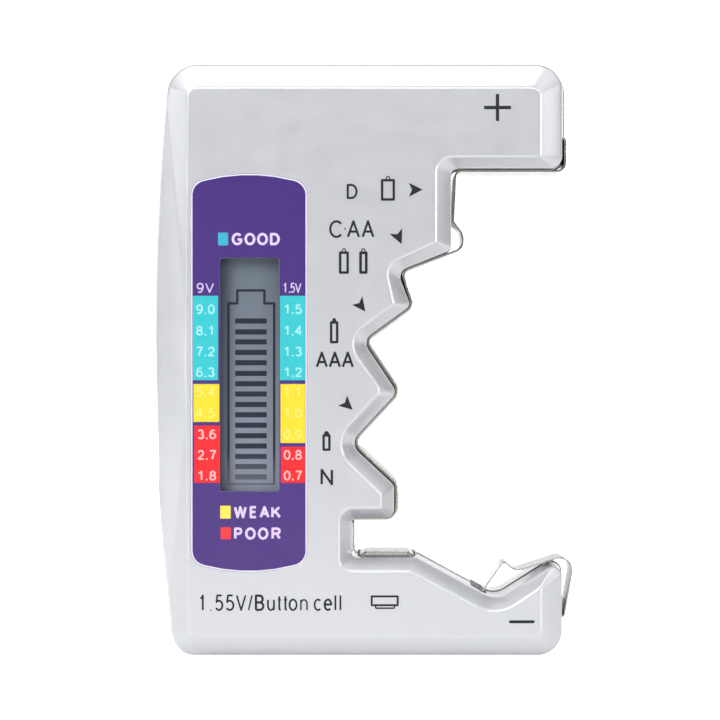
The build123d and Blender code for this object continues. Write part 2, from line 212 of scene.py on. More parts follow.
def towards(a, b, dist):
    """Each point of a moved towards the matching point of b."""
    return [p + (q - p) * min(dist / max((q - p).length, 1e-6), 0.45)
            for p, q in zip(a, b)]


def crowned(a, b, rise, n=4):
    """Rings between two outlines, bulging outwards by rise at the middle."""
    rings = []
    for k in range(1, n):
        t = k / n
        ring = []
        for p, q in zip(a, b):
            d = q - p
            flat = math.hypot(d.x, d.z)
            side = Vector((d.x * abs(d.y) / flat, -flat if d.y > 0 else flat,
                           d.z * abs(d.y) / flat)).normalized()
            point = p.lerp(q, t) + side * (rise * 4 * t * (1 - t))
            point.z = max(point.z, 0.0)
            ring.append(point)
        rings.append(ring)
    return rings


def rolled(before, edge, after, n=4):
    """Rings that roll round an edge between two neighbouring rings."""
    rings = []
    for k in range(n + 1):
        t = k / n
        rings.append([a * (1 - t) ** 2 + e * 2 * t * (1 - t) + b * t * t
                      for a, e, b in zip(before, edge, after)])
    return rings


# ------------------------------------------------------------- mesh helpers
class Builder:
    def __init__(self):
        self.bm = bmesh.new()

    def ring(self, pts):
        return [self.bm.verts.new(Vector(p) * MM) for p in pts]

    def skin(self, a, b, mat=0, closed=True):
        n = len(a)
        for i in range(n if closed else n - 1):
            j = (i + 1) % n
            vs = [a[i], a[j], b[j], b[i]]
            f = self.bm.faces.new(vs)
            f.material_index = mat
            f.smooth = True

    def loft(self, rings, mat=0):
        made = [self.ring(r) for r in rings]
        for a, b in zip(made, made[1:]):
            self.skin(a, b, mat)
        return made

    def plate(self, outer, holes=(), mat=0):
        """Flat sheet between rings that already exist, all at one depth."""
        loops = [outer, *holes]
        verts = [v for loop in loops for v in loop]
        flat = [Vector((v.co.x / MM, v.co.z / MM)) for v in verts]
        edges, k = [], 0
        for loop in loops:
            n = len(loop)
            edges += [(k + i, k + (i + 1) % n) for i in range(n)]
            k += n
        res = delaunay_2d_cdt(flat, edges, [], 0, 1e-7)
        out_v, _, out_f, orig = res[0], res[1], res[2], res[3]
        for i, src in enumerate(orig):
            if not src:
                print("PLATE: new point at", round(out_v[i].x, 3), round(out_v[i].y, 3))

        def poly(loop):
            return [(v.co.x / MM, v.co.z / MM) for v in loop]
        polys = [poly(loop) for loop in loops]
        for f in out_f:
            cx = sum(out_v[i].x for i in f) / len(f)
            cz = sum(out_v[i].y for i in f) / len(f)
            if not inside(cx, cz, polys[0]):
                continue
            if any(inside(cx, cz, p) for p in polys[1:]):
                continue
            if any(not orig[i] for i in f):
                continue
            vs = [verts[orig[i][0]] for i in f]
            if len(set(vs)) < 3:
                continue
            try:
                face = self.bm.faces.new(vs)
            except ValueError:
                continue
            face.material_index = mat
            face.smooth = True

    def done(self, name, mats, body="case", weld=True):
        bm = self.bm
        if weld:
            bmesh.ops.remove_doubles(bm, verts=bm.verts[:], dist=1e-7)
        bmesh.ops.dissolve_degenerate(bm, edges=bm.edges[:], dist=1e-7)
        bmesh.ops.recalc_face_normals(bm, faces=bm.faces[:])
        me = bpy.data.meshes.new(name)
        bm.to_mesh(me)
        bm.free()
        return place(name, me, mats, body)


def inside(x, z, poly):
    hit = False
    n = len(poly)
    j = n - 1
    for i in range(n):
        xi, zi = poly[i]
        xj, zj = poly[j]
        if (zi > z) != (zj > z) and x < (xj - xi) * (z - zi) / (zj - zi) + xi:
            hit = not hit
        j = i
    return hit


def place(name, me, mats, body="case"):
    o = bpy.data.objects.new(name, me)
    bpy.context.scene.collection.objects.link(o)
    for m in mats:
        me.materials.append(m)
    if body:
        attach(o, body)
    return o


def box_mesh(x0, x1, y0, y1, z0, z1, turn=None):
    bm = bmesh.new()
    vs = [bm.verts.new(Vector((x, y, z)) * MM)
          for x in (x0, x1) for y in (y0, y1) for z in (z0, z1)]
    for f in ((0, 1, 3, 2), (4, 6, 7, 5), (0, 4, 5, 1),
              (2, 3, 7, 6), (0, 2, 6, 4), (1, 5, 7, 3)):
        bm.faces.new([vs[i] for i in f])
    bmesh.ops.recalc_face_normals(bm, faces=bm.faces[:])
    if turn is not None:
        bmesh.ops.transform(bm, matrix=turn, verts=bm.verts[:])
    return bm


def rod_mesh(axis, c1, c2, d, a0, a1, n=48):
    bm = bmesh.new()
    rings = []
    for a in (a0, a1):
        ring = []
        for k in range(n):
            t = 2 * math.pi * k / n
            u, v = d / 2 * math.cos(t), d / 2 * math.sin(t)
            p = (c1 + u, a, c2 + v) if axis == "y" else (a, c1 + u, c2 + v)
            ring.append(bm.verts.new(Vector(p) * MM))
        rings.append(ring)
    for k in range(n):
        j = (k + 1) % n
        bm.faces.new([rings[0][k], rings[0][j], rings[1][j], rings[1][k]])
    bm.faces.new(rings[0])
    bm.faces.new(rings[1][::-1])
    bmesh.ops.recalc_face_normals(bm, faces=bm.faces[:])
    return bm


def carve(obj, bms, operation="DIFFERENCE", mat_index=None):
    """Boolean with each tool in turn, leaving a plain mesh."""
    for bm in bms:
        me = bpy.data.meshes.new("tool")
        bm.to_mesh(me)
        bm.free()
        tool = bpy.data.objects.new("tool", me)
        bpy.context.scene.collection.objects.link(tool)
        m = obj.modifiers.new("cut", "BOOLEAN")
        m.operation = operation
        m.solver = "EXACT"
        m.object = tool
        bpy.context.view_layer.update()
        dg = bpy.context.evaluated_depsgraph_get()
        new = bpy.data.meshes.new_from_object(obj.evaluated_get(dg))
        obj.modifiers.clear()
        old = obj.data
        obj.data = new
        new.name = obj.name
        bpy.data.meshes.remove(old)
        bpy.data.objects.remove(tool)
        bpy.data.meshes.remove(me)


def finish_shading(obj, angle=32.0, weighted=True):
    me = obj.data
    me.polygons.foreach_set("use_smooth", [True] * len(me.polygons))
    me.set_sharp_from_angle(angle=math.radians(angle))
    if weighted:
        m = obj.modifiers.new("even", "WEIGHTED_NORMAL")
        m.keep_sharp = True
        m.weight = 60
        bpy.context.view_layer.update()
        dg = bpy.context.evaluated_depsgraph_get()
        new = bpy.data.meshes.new_from_object(obj.evaluated_get(dg))
        obj.modifiers.clear()
        old = obj.data
        obj.data = new
        new.name = obj.name
        bpy.data.meshes.remove(old)


# ---------------------------------------------------------------- materials
class Mat:
    def __init__(self, name):
        self.m = bpy.data.materials.new(name)
        self.m.use_nodes = True
        self.t = self.m.node_tree
        self.t.nodes.clear()
        self.out = self.node("ShaderNodeOutputMaterial")
        self.b = self.node("ShaderNodeBsdfPrincipled")
        self.t.links.new(self.b.outputs[0], self.out.inputs[0])
        self.co = self.node("ShaderNodeTexCoord").outputs["Object"]

    def node(self, kind, **values):
        n = self.t.nodes.new(kind)
        for k, v in values.items():
            if k in n.inputs:
                n.inputs[k].default_value = v
            else:
                setattr(n, k, v)
        return n

    def link(self, a, b):
        self.t.links.new(a, b)

    def set(self, **kw):
        names = {"metallic": "Metallic", "rough": "Roughness", "ior": "IOR",
                 "spec": "Specular IOR Level", "coat": "Coat Weight",
                 "coat_rough": "Coat Roughness", "trans": "Transmission Weight",
                 "aniso": "Anisotropic", "sheen": "Sheen Weight"}
        for k, v in kw.items():
            if k == "color":
                self.b.inputs["Base Color"].default_value = (*v, 1)
            else:
                self.b.inputs[names[k]].default_value = v
        return self

    def scaled(self, sx, sy, sz):
        n = self.node("ShaderNodeMapping")
        n.inputs["Scale"].default_value = (sx, sy, sz)
        self.link(self.co, n.inputs["Vector"])
        return n.outputs[0]

    def noise(self, scale, detail=2.0, rough=0.5, co=None, distort=0.0):
        n = self.node("ShaderNodeTexNoise")
        n.inputs["Scale"].default_value = scale
        n.inputs["Detail"].default_value = detail
        n.inputs["Roughness"].default_value = rough
        n.inputs["Distortion"].default_value = distort
        self.link(co or self.co, n.inputs["Vector"])
        return n.outputs["Fac"]

    def ramp(self, fac, stops):
        n = self.node("ShaderNodeValToRGB")
        el = n.color_ramp.elements
        while len(el) > 1:
            el.remove(el[-1])
        el[0].position, el[0].color = stops[0][0], (*stops[0][1], 1)
        for pos, col in stops[1:]:
            e = el.new(pos)
            e.color = (*col, 1)
        self.link(fac, n.inputs["Fac"])
        return n.outputs["Color"]

    def range(self, fac, a, b, c, d):
        n = self.node("ShaderNodeMapRange")
        n.inputs["From Min"].default_value = a
        n.inputs["From Max"].default_value = b
        n.inputs["To Min"].default_value = c
        n.inputs["To Max"].default_value = d
        self.link(fac, n.inputs["Value"])
        return n.outputs["Result"]

    def mix(self, fac, a, b):
        n = self.node("ShaderNodeMix", data_type="RGBA")
        if isinstance(fac, float):
            n.inputs[0].default_value = fac
        else:
            self.link(fac, n.inputs[0])
        for i, v in ((6, a), (7, b)):
            if isinstance(v, tuple):
                n.inputs[i].default_value = (*v, 1)
            else:
                self.link(v, n.inputs[i])
        return n.outputs[2]

    def base(self, out):
        self.link(out, self.b.inputs["Base Color"])

    def rough(self, out):
        self.link(out, self.b.inputs["Roughness"])

    def bump(self, *layers):
        """layers: (height output, distance in metres, strength)."""
        last = None
        for h, dist, strength in layers:
            n = self.node("ShaderNodeBump")
            n.inputs["Strength"].default_value = strength
            n.inputs["Distance"].default_value = dist
            self.link(h, n.inputs["Height"])
            if last is not None:
                self.link(last, n.inputs["Normal"])
            last = n.outputs[0]
        self.link(last, self.b.inputs["Normal"])


def lin(r, g, b):
    """8-bit display colour to scene-linear."""
    def f(v):
        v /= 255
        return v / 12.92 if v <= 0.04045 else ((v + 0.055) / 1.055) ** 2.4
    return f(r), f(g), f(b)


def shade(c, k):
    return tuple(v * k for v in c)


def make_case(name="case_silver"):
    """Silver paint on moulded plastic, with painted shade along the joint of the halves."""
    m = Mat(name)
    m.set(metallic=0.45, spec=0.40, coat=1.0, coat_rough=0.11)
    fleck = m.noise(5200, 2.0, 0.6)
    cloud = m.noise(70, 3.0, 0.5)
    mould = m.noise(420, 4.0, 0.6)
    base = lin(212, 213, 217)
    c = m.ramp(fleck, [(0.30, shade(base, 0.93)), (0.52, base),
                       (0.74, shade(base, 1.06))])
    c2 = m.mix(m.range(cloud, 0.35, 0.65, 0.0, 0.35), c,
               shade(lin(206, 209, 214), 1.0))
    xyz = m.node("ShaderNodeSeparateXYZ")
    m.link(m.co, xyz.inputs[0])
    depth = m.node("ShaderNodeMath", operation="ABSOLUTE")
    m.link(xyz.outputs["Y"], depth.inputs[0])
    # painted shade: the colour darkens towards grey within 0.2 mm of the joint plane between
    # the halves
    joint_shade = m.range(depth.outputs[0], 0.00007, 0.00020, 0.70, 0.0)
    m.base(m.mix(joint_shade, c2, lin(104, 106, 110)))
    m.rough(m.range(mould, 0.3, 0.7, 0.32, 0.40))
    m.bump((m.noise(2600, 3.0, 0.6), 0.00002, 0.10),
           (m.noise(260, 2.0, 0.5), 0.00005, 0.05))
    return m.m


def make_film(name, rgb, rough=0.38, vary=0.06, coat=0.15):
    """Printed film: flat ink with a faint screen-print mottle and orange peel."""
    m = Mat(name)
    m.set(spec=0.45, coat=coat, coat_rough=0.30)
    base = lin(*rgb)
    mottle = m.noise(900, 3.0, 0.6)
    broad = m.noise(55, 2.0, 0.5)
    c = m.ramp(mottle, [(0.30, shade(base, 1 - vary)), (0.5, base),
                        (0.70, shade(base, 1 + vary))])
    c2 = m.mix(m.range(broad, 0.3, 0.7, 0.0, 0.30), c, shade(base, 1 + 1.6 * vary))
    m.base(c2)
    m.rough(m.range(mottle, 0.3, 0.7, rough - 0.05, rough + 0.05))
    m.bump((m.noise(1500, 2.0, 0.5), 0.00001, 0.15))
    return m.m


def make_label_ground():
    m = Mat("label_purple")
    m.set(spec=0.22)
    top, low = lin(66, 44, 116), lin(80, 62, 124)
    xyz = m.node("ShaderNodeSeparateXYZ")
    m.link(m.co, xyz.inputs[0])
    up = m.range(xyz.outputs["Z"], 0.012, 0.074, 0.0, 1.0)
    cloud = m.noise(60, 3.0, 0.5)
    grad = m.mix(up, low, top)
    c = m.mix(m.range(cloud, 0.35, 0.65, 0.0, 0.5), grad, lin(74, 52, 124))
    fine = m.noise(1400, 3.0, 0.6)
    c2 = m.mix(m.range(fine, 0.35, 0.65, 0.0, 0.14), c, lin(56, 38, 98))
    m.base(c2)
    m.rough(m.range(fine, 0.3, 0.7, 0.36, 0.46))
    m.bump((m.noise(1500, 2.0, 0.5), 0.00001, 0.15))
    return m.m


def make_ink(name, rgb, rough=0.5):
    m = Mat(name)
    m.set(spec=0.35)
    base = lin(*rgb)
    grain = m.noise(3500, 2.0, 0.7)
    m.base(m.ramp(grain, [(0.30, shade(base, 0.85)), (0.55, base),
                          (0.75, tuple(min(v * 1.10, 1) for v in base))]))
    m.rough(m.range(grain, 0.3, 0.7, rough - 0.06, rough + 0.06))
    m.bump((grain, 0.000008, 0.2))
    return m.m


def make_metal(name, rgb, rough, streak=(1, 1, 1), scuff=0.10):
    m = Mat(name)
    m.set(metallic=1.0)
    base = lin(*rgb)
    lines = m.noise(900, 3.0, 0.6, co=m.scaled(*streak))
    blot = m.noise(160, 3.0, 0.6)
    c = m.ramp(blot, [(0.30, shade(base, 1 - scuff)), (0.55, base),
                      (0.75, tuple(min(v * 1.05, 1) for v in base))])
    m.base(c)
    m.rough(m.range(lines, 0.3, 0.7, rough - 0.015, rough + 0.02))
    m.bump((lines, 0.00001, 0.03))
    return m.m


def make_plain(name, rgb, rough=0.45, metallic=0.0, spec=0.5, grain=1800, vary=0.08,
               bump=0.12, coat=0.0):
    m = Mat(name)
    m.set(metallic=metallic, spec=spec, coat=coat)
    base = lin(*rgb)
    g = m.noise(grain, 3.0, 0.6)
    broad = m.noise(grain / 12, 2.0, 0.5)
    c = m.ramp(g, [(0.30, shade(base, 1 - vary)), (0.5, base),
                   (0.72, tuple(min(v * (1 + vary), 1) for v in base))])
    c2 = m.mix(m.range(broad, 0.35, 0.65, 0.0, 0.4), c, shade(base, 1 - vary))
    m.base(c2)
    m.rough(m.range(g, 0.3, 0.7, max(rough - 0.06, 0.02), rough + 0.08))
    m.bump((g, 0.00002, bump))
    return m.m


def make_lcd_face():
    """Reflective display film: grey-green with a fine cell structure."""
    m = Mat("lcd_film_face")
    m.set(spec=0.45, coat=0.35, coat_rough=0.16)
    a, b = lin(100, 112, 122), lin(138, 142, 158)
    xyz = m.node("ShaderNodeSeparateXYZ")
    m.link(m.co, xyz.inputs[0])
    up = m.range(xyz.outputs["Z"], 0.024, 0.062, 0.0, 1.0)
    soft = m.noise(160, 2.0, 0.5)
    grad = m.mix(up, b, a)
    c = m.mix(m.range(soft, 0.3, 0.7, 0.0, 0.25), grad, lin(96, 108, 117))
    fine = m.noise(6000, 1.0, 0.5)
    c2 = m.mix(m.range(fine, 0.3, 0.7, 0.0, 0.12), c, lin(84, 95, 104))
    # painted shadow: the film's left border is darkened, standing in for the shadow cast by
    # the window wall
    side = m.range(xyz.outputs["X"], (LCD_X - 4.5) * MM, (LCD_X - 1.9) * MM, 0.78, 0.0)
    m.base(m.mix(side, c2, lin(54, 58, 82)))
    m.rough(m.range(fine, 0.3, 0.7, 0.26, 0.34))
    m.bump((fine, 0.000006, 0.10))
    return m.m


def make_segment():
    """Display segments: dark, weakening towards the bottom of the cell."""
    m = Mat("lcd_segment_dark")
    m.set(spec=0.35, rough=0.32)
    xyz = m.node("ShaderNodeSeparateXYZ")
    m.link(m.co, xyz.inputs[0])
    up = m.range(xyz.outputs["Z"], 0.0265, 0.0312, 0.0, 1.0)
    fine = m.noise(2500, 2.0, 0.6)
    dark = m.ramp(fine, [(0.3, lin(30, 38, 50)), (0.7, lin(38, 47, 61))])
    m.base(m.mix(up, lin(92, 96, 110), dark))
    m.rough(m.range(fine, 0.3, 0.7, 0.28, 0.38))
    m.bump((fine, 0.000006, 0.10))
    return m.m


M_CASE = make_case()
M_FILM = make_film("label_border", (232, 226, 244), 0.40, 0.02)
M_PURPLE = make_label_ground()
M_CYAN = make_film("print_cyan", (49, 184, 191), 0.42, 0.05, 0.0)
M_CYAN_DULL = make_film("print_cyan_key", (52, 166, 188), 0.42, 0.05, 0.0)
M_YELLOW = make_film("print_yellow", (229, 206, 44), 0.42, 0.03, 0.0)
M_YELLOW_DULL = make_film("print_yellow_key", (240, 212, 82), 0.40, 0.04)
M_RED = make_film("print_red", (227, 34, 39), 0.42, 0.05, 0.0)
M_RED_DULL = make_film("print_red_key", (222, 52, 56), 0.40, 0.05)
M_LEGEND = make_ink("ink_lilac_white", (216, 196, 236))
M_LEGEND_THIN = make_ink("ink_lilac_thin", (206, 186, 228))
M_NUM_CYAN = make_ink("ink_numbers_pale_blue", (158, 222, 226))
M_NUM_YELLOW = make_ink("ink_numbers_pale_yellow", (234, 220, 112))
M_NUM_RED = make_ink("ink_numbers_pale_pink", (238, 176, 180))
M_INK = make_ink("ink_black", (29, 30, 34))
M_LCD = make_lcd_face()
M_SEG = make_segment()
M_NICKEL = make_metal("nickel_plate", (206, 204, 199), 0.22, (1, 0.08, 1), 0.05)
M_SPRING = make_metal("spring_steel_bright", (204, 204, 206), 0.22, (1, 0.08, 1), 0.05)
M_SCREW = make_metal("screw_zinc", (176, 174, 168), 0.30, (1, 1, 1))
M_SNAP = make_metal("snap_nickel", (200, 198, 192), 0.22, (1, 1, 1))
M_GLASS = make_plain("lcd_glass_edge", (150, 165, 165), 0.10, grain=900, vary=0.04, coat=0.4)
M_REFLECT = make_plain("lcd_reflector_foil", (176, 182, 184), 0.35, metallic=0.6)
M_HOLDER = make_plain("holder_white_plastic", (226, 226, 222), 0.50)
M_RUBBER = make_plain("zebra_elastomer", (60, 58, 60), 0.75, grain=2400, vary=0.20)
M_PCB = make_plain("board_green_mask", (28, 92, 52), 0.34, grain=1200, vary=0.12, coat=0.3)
M_EPOXY = make_plain("chip_epoxy", (26, 26, 28), 0.38, grain=900, vary=0.20)
M_RES = make_plain("resistor_body", (196, 168, 122), 0.40, grain=1500, coat=0.3)
M_CHIPR = make_plain("chip_resistor_body", (36, 36, 40), 0.35, grain=2500, vary=0.2)
M_CHIPC = make_plain("chip_capacitor_body", (176, 146, 104), 0.42, grain=2500)
M_REDLEAD = make_plain("lead_red_pvc", (190, 26, 30), 0.40, grain=1600)
M_BLACKLEAD = make_plain("lead_black_pvc", (24, 24, 26), 0.42, grain=1600, vary=0.15)
# painted shade: the walls round the display window get a dark colour, where shadow falls
M_WINDOW_SHADE = make_plain("window_wall_painted_shade", (52, 44, 74), 0.60, grain=1600, vary=0.12)
M_SOLDER = make_metal("solder_bright", (190, 190, 192), 0.24)

# ------------------------------------------------------------- front shell
PART_LINE = offset_line(WALL_LINE, DRAFT)
# the front half stands a little inside the rear one round the bay, where the
# joint between them shows as a fine dark step
FRONT_PART = offset_line(WALL_LINE, [d - (0.13 if 1 <= i <= 16 else 0.0)
                                     for i, d in enumerate(DRAFT)])
FACE_INSET = [-0.36] * 17 + [-0.30, -0.24, -0.24]
REAR_LINE = offset_line(PART_LINE, REAR_DRAFT)
BACK_LINE = offset_line(REAR_LINE, [-2.0] * 20)
CAVITY = offset_line(WALL_LINE, [-WALL] * 20)
FACE_CAVITY = offset_line(FACE_LINE, [-1.25] * 20)
CUTS = plan(WALL_LINE, FACE_LINE, PART_LINE, REAR_LINE, BACK_LINE)
z_tooth = offset_line(PART_LINE, [0.24] * 20)[11][1]
SLOPE = math.atan2(14.84 - 8.26, 20.43 - 8.33)


def shell_cutters(back=False):
    half = 5.7
    ch = 5.0
    slope_c = Vector((17.75, 0, 14.84 - (17.75 - 8.33) * math.tan(SLOPE))) * MM
    turn = (Matrix.Translation(slope_c)
            @ Matrix.Rotation(SLOPE, 4, "Y"))
    tools = [
        box_mesh(30.93, 33.5, -half, half, 72.0, 79.95),
        box_mesh(28.0, 31.5, -half, half, 79.05, 79.85),
        box_mesh(13.45, 15.0, -half, half, 64.9, 69.6),
        box_mesh(-4.2, -1.0, -half, half, z_tooth - 0.45, z_tooth + 0.62),
        box_mesh(-0.80, 0.62, -5.2, 5.2, 12.4, 16.4),
        box_mesh(6.72, 8.07, -5.2, 5.2, 12.2, 16.4),
        box_mesh(-1.375, 1.375, -5.3, 5.3, -2.6, 2.6, turn),
        box_mesh(28.0, 33.5, -ch, ch, 5.0, 6.25),
        box_mesh(30.05, 33.5, -ch, ch, 4.9, 7.9),
        rod_mesh("x", 0, 53.35, 7.2, -35, -28.5),
        rod_mesh("x", 0, 40.65, 9.0, -35, -28.5),
    ]
    return tools


def win_ring(y, grow=0.0, r=0.35, n=5):
    """Rounded rectangle of the display window at a depth."""
    hw, hh = WIN_W / 2 + grow, WIN_H / 2 + grow
    pts = []
    for cx, cz, a0 in ((LCD_X - hw + r, LCD_Z + hh - r, 180),
                       (LCD_X + hw - r, LCD_Z + hh - r, 90),
                       (LCD_X + hw - r, LCD_Z - hh + r, 0),
                       (LCD_X - hw + r, LCD_Z - hh + r, -90)):
        for k in range(n + 1):
            a = math.radians(a0 - 90 * k / n)
            pts.append(Vector((cx + r * math.cos(a), y, cz + r * math.sin(a))))
    return pts


def make_front():
    b = Builder()
    F = along(sample(FACE_LINE, CUTS), Y_FACE)
    W = along(sample(WALL_LINE, CUTS), Y_WALL)
    P = along(sample(FRONT_PART, CUTS), 0.0)
    I = along(sample(offset_line(FACE_LINE, FACE_INSET), CUTS), Y_FACE)
    # the face rolls into the bevel, which is slightly crowned and rolls
    # into the wall
    f1, w0 = towards(F, W, 0.50), towards(W, F, 0.46)
    rings = rolled(I, F, f1, 7)
    rings += crowned(f1, w0, 0.07)
    rings += rolled(w0, W, towards(W, P, 0.50), 5)
    edge_in = along(sample(offset_line(FRONT_PART, [-0.12] * 20), CUTS), 0.0)
    rings += rolled(towards(P, W, 0.10), P, edge_in, 3)
    cav0 = along(sample(CAVITY, CUTS), 0.0)
    cav1 = along(sample(CAVITY, CUTS), Y_WALL + 0.6)
    fc0 = along(sample(FACE_CAVITY, CUTS), Y_WALL + 0.6)
    fc1 = along(sample(FACE_CAVITY, CUTS), -9.2)
    rings += [cav0, cav1, fc0, fc1]
    made = b.loft(rings)
    lab_cuts = plan(LABEL, step=6.0, run=4.0)
    grown = offset_line(LABEL, [0.18] * 6)
    g2 = offset_line(LABEL, [0.32] * 6)
    L0 = along(sample(g2, lab_cuts), Y_FACE)
    L1 = along(sample(grown, lab_cuts), Y_FACE)
    L2 = along(sample(grown, lab_cuts), Y_FACE + 0.20)
    L3 = along(sample(grown, lab_cuts), RECESS_Y)
    lip = rolled(L0, L1, L2, 4) + [L3]
    lab = b.loft(lip)
    win0 = b.ring(win_ring(RECESS_Y))
    win1 = b.ring(win_ring(-9.2))
    # the window wall takes the dark painted-shade material
    b.skin(win0, win1, 1)
    b.plate(made[0], [lab[0]])
    b.plate(lab[-1], [win0])
    b.plate(made[-1], [win1])
    o = b.done("front_case_half", [M_CASE, M_WINDOW_SHADE], "case")
    carve(o, shell_cutters())
    finish_shading(o)
    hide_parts("front_shell")
    return o


def make_rear():
    b = Builder()
    P = along(sample(PART_LINE, CUTS), 0.0)
    R = along(sample(REAR_LINE, CUTS), Y_REAR)
    B = along(sample(BACK_LINE, CUTS), Y_BACK)
    J = along(sample(offset_line(BACK_LINE, [-0.34] * 20), CUTS), Y_BACK)
    edge_in = along(sample(offset_line(PART_LINE, [-0.20] * 20), CUTS), 0.0)
    b1, r0 = towards(B, R, 0.46), towards(R, B, 0.42)
    rings = rolled(J, B, b1, 6)
    rings += [[p.lerp(q, k / 3) for p, q in zip(b1, r0)] for k in (1, 2)]
    rings += rolled(r0, R, towards(R, P, 0.42), 4)
    rings += rolled(towards(P, R, 0.18), P, edge_in, 3)
    cav0 = along(sample(CAVITY, CUTS), 0.0)
    cav1 = along(sample(CAVITY, CUTS), 8.6)
    rings += [cav0, cav1]
    made = b.loft(rings)
    b.plate(made[0])
    b.plate(made[-1])
    o = b.done("rear_case_half", [M_CASE], "case")
    carve(o, [rod_mesh("y", x, z, 6.0, 0.15, 9.2) for x, z in CASE_SCREWS], "UNION")
    tools = []
    for x, z in CASE_SCREWS:
        tools.append(rod_mesh("y", x, z, 2.4, -1.0, 4.0))
        tools.append(rod_mesh("y", x, z, 4.4, 3.0, 12.0))
    carve(o, tools)
    carve(o, shell_cutters(True))
    finish_shading(o)
    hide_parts("rear_shell")
    return o


front = make_front()
rear = make_rear()


# -------------------------------------------------------------------- label
def make_label():
    """Die-cut film with an unprinted border, and the purple ground on it."""
    cuts = plan(LABEL, step=6.0, run=4.0)
    b = Builder()
    line = sample(offset_line(LABEL, [0.13] * 6), cuts)
    inner = sample(offset_line(LABEL, [0.06] * 6), cuts)
    base = along(line, RECESS_Y)
    edge = along(line, -10.95)
    top = along(inner, -10.95)
    made = b.loft([base] + rolled(towards(edge, base, 0.07), edge, top, 3))
    w0 = b.ring(win_ring(RECESS_Y, 0.0))
    w1 = b.ring(win_ring(-10.95, 0.0))
    # the window wall takes the dark painted-shade material
    b.skin(w0, w1, 1)
    b.plate(made[0], [w0])
    b.plate(made[-1], [w1])
    o = b.done("scale_label_film", [M_FILM, M_WINDOW_SHADE], "case")
    finish_shading(o)
    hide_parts("scale_label")

    b = Builder()
    line = sample(offset_line(LABEL, [-0.06] * 6), cuts)
    lo = b.ring(along(line, -10.948))
    hi = b.ring(along(line, -10.958))
    b.skin(lo, hi)
    w0 = b.ring(win_ring(-10.948, 0.01))
    w1 = b.ring(win_ring(-10.958, 0.01))
    b.skin(w0, w1)
    b.plate(lo, [w0])
    b.plate(hi, [w1])
    o = b.done("label_purple_print", [M_PURPLE], "case")
    finish_shading(o)


make_label()


# ---------------------------------------------------- printing, drawn in ink
def P2(x, y, depth=0.0):
    """Drawing units (720 wide, y down) to millimetres on the face."""
    k = 6.562 * 450 / (450 + depth)
    return (x - 360) / k - 0.49, (360 - y) / k + 45.25


def arc(cx, cy, rx, ry, a0, a1, n=14):
    return [(cx + rx * math.cos(math.radians(a0 + (a1 - a0) * k / n)),
             cy + ry * math.sin(math.radians(a0 + (a1 - a0) * k / n)))
            for k in range(n + 1)]


# Plain stroke letters in a unit box, y up: lists of pen strokes.
GLYPHS = {
    "0": [arc(.5, .5, .5, .5, 90, 450, 28)],
    "1": [[(.08, .78), (.40, .86), (.62, 1.0), (.62, 0)]],
    "2": [arc(.5, .71, .46, .29, 168, -32) + [(.02, 0), (1, 0)]],
    "3": [arc(.46, .76, .42, .24, 155, -78), arc(.48, .26, .50, .26, 82, -155)],
    "4": [[(.74, 0), (.74, 1), (0, .30), (1, .30)]],
    "5": [[(.90, 1), (.22, 1), (.10, .54)] + arc(.47, .32, .52, .32, 132, -148)],
    "6": [arc(.5, .31, .49, .31, 90, 450, 24),
          arc(.58, .42, .57, .58, 62, 180, 12) + [(.01, .31)]],
    "7": [[(0, 1), (1, 1)] + [(.62, .52), (.38, 0)]],
    "8": [arc(.5, .76, .40, .24, 90, 450, 22), arc(.5, .26, .49, .26, 90, 450, 24)],
    "9": [arc(.5, .69, .49, .31, 90, 450, 24),
          [(.99, .69)] + arc(.42, .58, .57, .58, 0, -118, 12)],
    ".": [[(.5, 0), (.5, 0.001)]],
    "/": [[(0, 0), (1, 1)]],
    "A": [[(0, 0), (.5, 1), (1, 0)], [(.17, .34), (.83, .34)]],
    "B": [[(0, 0), (0, 1), (.55, 1)] + arc(.55, .76, .37, .24, 90, -90, 10)
          + [(0, .52)], [(.5, .52)] + arc(.56, .26, .44, .26, 90, -90, 10) + [(0, 0)]],
    "C": [arc(.53, .5, .53, .5, 42, 318, 26)],
    "D": [[(0, 0), (0, 1), (.42, 1)] + arc(.42, .5, .58, .5, 90, -90, 18) + [(0, 0)]],
    "E": [[(1, 1), (0, 1), (0, 0), (1, 0)], [(0, .52), (.9, .52)]],
    "G": [arc(.52, .5, .52, .5, 46, 322, 24) + [(.97, .28), (.97, .46), (.56, .46)]],
    "K": [[(0, 0), (0, 1)], [(.92, 1), (0, .36)], [(.34, .60), (1, 0)]],
    "N": [[(0, 0), (0, 1), (1, 0), (1, 1)]],
    "O": [arc(.5, .5, .5, .5, 90, 450, 30)],
    "P": [[(0, 0), (0, 1), (.6, 1)] + arc(.6, .74, .38, .26, 90, -90, 10) + [(0, .48)]],
    "R": [[(0, 0), (0, 1), (.6, 1)] + arc(.6, .75, .36, .25, 90, -90, 10) + [(0, .50)],
          [(.55, .50), (.98, 0)]],
    "V": [[(0, 1), (.5, 0), (1, 1)]],
    "W": [[(0, 1), (.24, 0), (.5, 1), (.76, 0), (1, 1)]],
    "c": [arc(.52, .36, .5, .36, 48, 312, 20)],
    "e": [[(.02, .38), (1, .38)] + arc(.5, .36, .5, .36, 4, 312, 22)],
    "l": [[(.5, 0), (.5, 1)]],
    "n": [[(0, 0), (0, .70)], [(0, .42)] + arc(.5, .42, .5, .28, 160, 0, 12) + [(1, 0)]],
    "o": [arc(.5, .36, .5, .36, 90, 450, 26)],
    "t": [[(.42, .94), (.42, .16)] + arc(.74, .16, .32, .14, 180, 275, 6),
          [(0, .70), (.95, .70)]],
    "u": [[(0, .70), (0, .28)] + arc(.5, .28, .5, .28, 180, 350, 12), [(1, .70), (1, 0)]],
}


